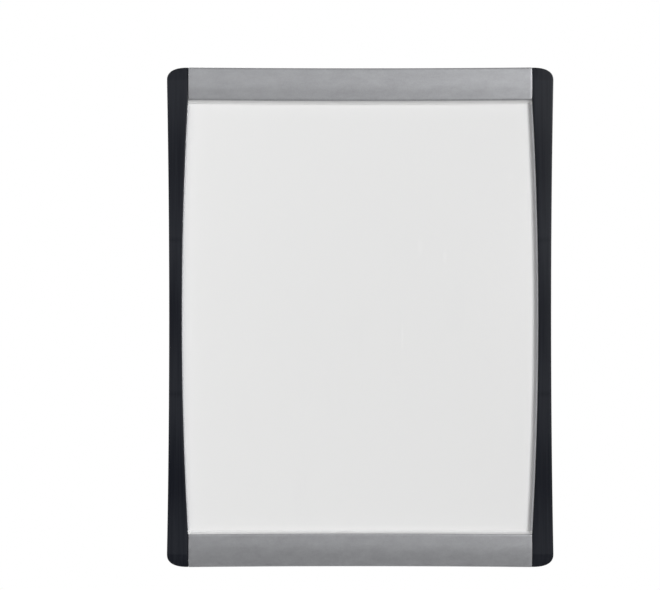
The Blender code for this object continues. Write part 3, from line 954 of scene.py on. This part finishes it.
def ferrite():
    """Bare dark ferrite with a fine ground face."""
    material, tree, shader = new_material("ground_ferrite", 0.5)
    place = own_place(tree)
    fine = use(tree, grain, {"Grain": 3000.0, "Patch": 300.0, "Depth": 1.5})
    ground = noise(tree, stretched(tree, place, (0.06, 1.0, 1.0)), 3500.0, 2.0, 0.6)
    colour = mix_colour(tree, evened(tree, ground), ferrite_dark, ferrite_pale)
    tree.links.new(colour, shader.inputs["Base Color"])
    tree.links.new(evened(tree, fine["Patches"], 0.38, 0.60), shader.inputs["Roughness"])
    tree.links.new(fine["Normal"], shader.inputs["Normal"])
    return material


def zinc_steel():
    """Zinc-plated screw steel with a faint bright and dull mottle."""
    material, tree, shader = new_material("zinc_plated_steel", 0.35, 1.0)
    fine = use(tree, grain, {"Grain": 5000.0, "Patch": 700.0, "Depth": 1.0})
    colour = mix_colour(tree, evened(tree, fine["Patches"]), zinc_dark, zinc_pale)
    tree.links.new(colour, shader.inputs["Base Color"])
    tree.links.new(evened(tree, fine["Patches"], 0.42, 0.24), shader.inputs["Roughness"])
    tree.links.new(fine["Normal"], shader.inputs["Normal"])
    return material


# The pieces


def dress(piece, material, node):
    """Give a piece its finish, hide the solid it stands for and attach it to the root body."""
    piece.data.materials.clear()
    piece.data.materials.append(material)
    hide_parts(node)
    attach(piece, "root")


black, silver = black_moulding(), silver_paint()
dress(side_rail("left_rail_moulding", -1), black, "left_rail")
dress(side_rail("right_rail_moulding", 1), black, "right_rail")
dress(end_rail("top_rail_moulding", 1), silver, "top_rail")
dress(end_rail("bottom_rail_moulding", -1), silver, "bottom_rail")
dress(bezel("bezel_lip"), grey_moulding(), "inner_bezel")
dress(sheet("lacquered_sheet"), white_lacquer(), "writing_sheet")
dress(back_panel("back_moulding"), textured_back(), "rear_panel")

dark_disc, plated = ferrite(), zinc_steel()
for place_name, (x, z) in magnet_places().items():
    dress(magnet("disc_" + place_name, x, z), dark_disc, "magnet_" + place_name)

chance = random.Random(7)
for side, side_name in ((-1, "left"), (1, "right")):
    rows = zip(("top", "upper", "lower", "bottom"), screw_places(side))
    for row_name, (x, z) in rows:
        place_name = side_name + "_" + row_name
        fastener = screw("fastener_" + place_name, x, z, chance.uniform(0.0, math.pi / 2))
        dress(fastener, plated, "screw_" + place_name)

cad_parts["core_board"].material_slots[0].material = fibreboard()


# Studio

# Levels of the room in reflections, at places from straight down to straight up
room_levels = [(0.26, 0.0), (0.5, 0.23), (0.68, 1.04), (0.78, 0.40), (1.0, 0.40)]
room_gloss = 1.6
room_tone = 0.08
room_tone_rise = 0.27

# Ranges of direction over which the room's levels change, each with the levels at its two ends
fade_behind = (-0.3, 0.3, 1.0, 0.1)
glow_behind = (0.45, 0.8, 0.0, 0.6)
glow_beside = (-0.1, 0.6, 0.0, 0.4)
backdrop_behind = (0.84, 0.94)

floor_drop = 0.40
floor_radius = 1.0
floor_fade = (0.30, 0.95, 1.0, 0.0)
floor_glow = 0.25


def studio_world():
    """A soft grey room with a white backdrop, which also shows in what mirrors it."""
    world = bpy.data.worlds.new("studio")
    bpy.context.scene.world = world
    world.use_nodes = True
    tree = world.node_tree
    tree.nodes.clear()
    rays = tree.nodes.new("ShaderNodeLightPath").outputs
    direction = tree.nodes.new("ShaderNodeTexCoord").outputs["Generated"]
    ahead = add_node(tree, "ShaderNodeSeparateXYZ", {0: direction}).outputs
    behind = calc(tree, "ADD", between(tree, ahead[1], *fade_behind),
                  between(tree, ahead[1], *glow_behind))
    sheen = add_node(tree, "ShaderNodeValToRGB", {0: between(tree, ahead[2], -1.0, 1.0)})
    steps = sheen.color_ramp.elements
    for position, level in room_levels[1:-1]:
        steps.new(position)
    for step, (position, level) in zip(steps, room_levels):
        step.position, step.color = position, (level, level, level, 1.0)
    beside = between(tree, ahead[0], *glow_beside)
    gloss = calc(tree, "ADD", calc(tree, "MULTIPLY", sheen.outputs[0], room_gloss), beside)
    gloss = calc(tree, "MULTIPLY", gloss, behind)
    tone = calc(tree, "MULTIPLY", room_tone_rise, calc(tree, "ABSOLUTE", ahead[2]))
    tone = calc(tree, "ADD", room_tone, tone)
    level = calc(tree, "ADD", gloss, calc(tree, "MULTIPLY", rays["Is Diffuse Ray"],
                                          calc(tree, "SUBTRACT", tone, gloss)))
    room = add_node(tree, "ShaderNodeBackground", {"Strength": level})
    blank = add_node(tree, "ShaderNodeBackground", {"Color": white})
    mirrored = calc(tree, "MAXIMUM", rays["Is Glossy Ray"], rays["Is Transmission Ray"])
    mirrored = calc(tree, "MULTIPLY", mirrored, between(tree, ahead[1], *backdrop_behind))
    backdrop = calc(tree, "MAXIMUM", rays["Is Camera Ray"], mirrored)
    mixed = add_node(tree, "ShaderNodeMixShader", {0: backdrop, 1: room.outputs[0],
                                                   2: blank.outputs[0]})
    add_node(tree, "ShaderNodeOutputWorld", {0: mixed.outputs[0]})


def key_light(azimuth, elevation, softness, strength):
    """The soft main light from in front, which tones the surfaces and isn't mirrored."""
    data = bpy.data.lights.new("key", "SUN")
    data.angle = math.radians(softness)
    data.energy = strength
    lamp = bpy.data.objects.new("key", data)
    lamp.rotation_euler = (math.radians(90.0 - elevation), 0.0, math.radians(azimuth))
    lamp.visible_glossy = False
    bpy.context.scene.collection.objects.link(lamp)


def softbox(name, place, size, power, lights="all"):
    """A soft square lamp that looks at the board, for its diffuse tone, its sheen or both."""
    data = bpy.data.lights.new(name, "AREA")
    data.size = size
    data.energy = power
    lamp = bpy.data.objects.new(name, data)
    lamp.location = place
    lamp.rotation_euler = (-Vector(place)).to_track_quat("-Z", "Y").to_euler()
    lamp.visible_glossy = lights != "tone"
    lamp.visible_diffuse = lights != "sheen"
    bpy.context.scene.collection.objects.link(lamp)


def pale_floor():
    """A pale floor well below the board, which fades into the white backdrop."""
    bm = bmesh.new()
    bmesh.ops.create_circle(bm, cap_ends=True, segments=disc_steps, radius=floor_radius)
    bmesh.ops.translate(bm, vec=(0.0, 0.0, -half_height - floor_drop), verts=bm.verts)
    floor = add_piece("floor", bm)
    material, tree, shader = new_material("pale_floor", 0.9)
    place = own_place(tree)
    shader.inputs["Base Color"].default_value = floor_colour
    rays = tree.nodes.new("ShaderNodeLightPath").outputs
    glow = calc(tree, "MULTIPLY", rays["Is Camera Ray"], floor_glow)
    shader.inputs["Emission Color"].default_value = white
    tree.links.new(glow, shader.inputs["Emission Strength"])
    flat = stretched(tree, place, (1.0, 1.0, 0.0))
    distance = add_node(tree, "ShaderNodeVectorMath", {0: flat}, operation="LENGTH").outputs[1]
    tree.links.new(between(tree, distance, *floor_fade), shader.inputs["Alpha"])
    floor.data.materials.append(material)


studio_world()
pale_floor()
key_light(azimuth=21.0, elevation=3.5, softness=20.0, strength=2.02)
softbox("left_fill", (-0.430, -0.845, 0.110), size=0.6, power=2.0, lights="tone")
softbox("right_sheen", (1.10, -0.75, 0.45), size=0.7, power=20.5, lights="sheen")
softbox("rear_left", (-0.90, 1.10, 0.70), size=1.0, power=5.0)
softbox("rear_right", (1.10, 0.70, 0.20), size=0.8, power=3.0)
softbox("rear_sheen", (-0.70, 1.20, 0.90), size=1.0, power=14.0, lights="sheen")

lens_data = bpy.data.cameras.new("camera")
lens_data.lens = 56.72
lens_data.shift_x = 0.0378
lens_data.shift_y = 0.0687
lens_data.clip_start = 0.01
camera = bpy.data.objects.new("camera", lens_data)
camera.location = (-0.0308, -0.5916, -0.0129)
camera.rotation_euler = (math.pi / 2, 0.0, 0.0)
bpy.context.scene.collection.objects.link(camera)
bpy.context.scene.camera = camera
bpy.context.scene.view_settings.view_transform = "Standard"
